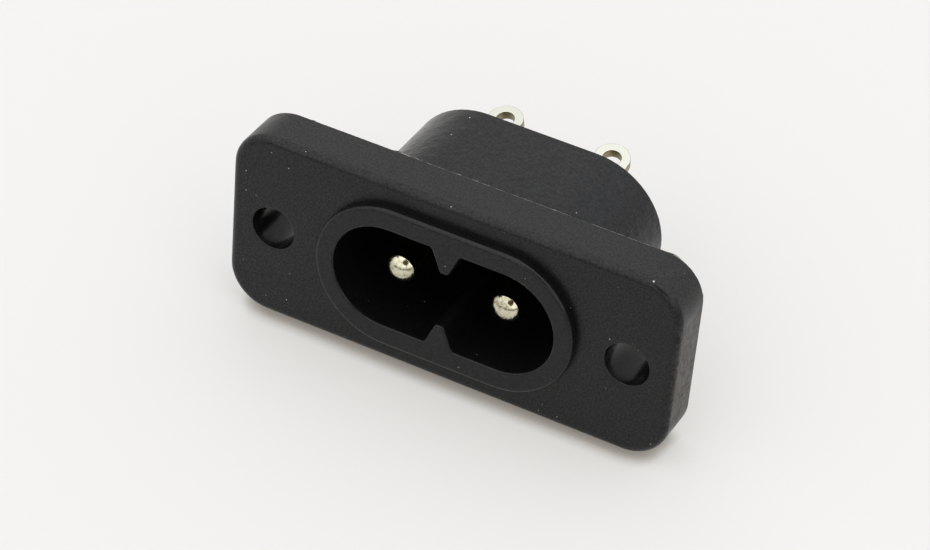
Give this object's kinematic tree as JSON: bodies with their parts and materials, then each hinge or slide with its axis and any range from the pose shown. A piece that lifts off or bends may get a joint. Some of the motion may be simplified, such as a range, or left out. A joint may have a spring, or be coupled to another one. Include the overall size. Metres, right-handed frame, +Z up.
{
  "type": "figure eight power connector",
  "caption": "Panel inlet for a figure eight mains plug: screw flange, oblong barrel, socket with centre ridges round the contact pins, and solder lugs behind.",
  "frame": {"origin": "midway between the screw holes, in the rear face of the flange", "axes": "+X along the flange, +Y from the socket's mouth to the solder lugs, +Z up, the way the solder lugs turn"},
  "size_m": [0.0362, 0.0196, 0.0156],
  "materials": {
    "housing": "black moulded thermoplastic with a fine spark texture",
    "contacts": "turned brass, nickel plated, satin",
    "lugs": "stamped brass strip, tin plated"
  },
  "bodies": {
    "root": {"socket_body": "housing", "contact_pin_left": "contacts", "contact_pin_right": "contacts", "solder_lug_left": "lugs", "solder_lug_right": "lugs"}
  },
  "joints": []
}
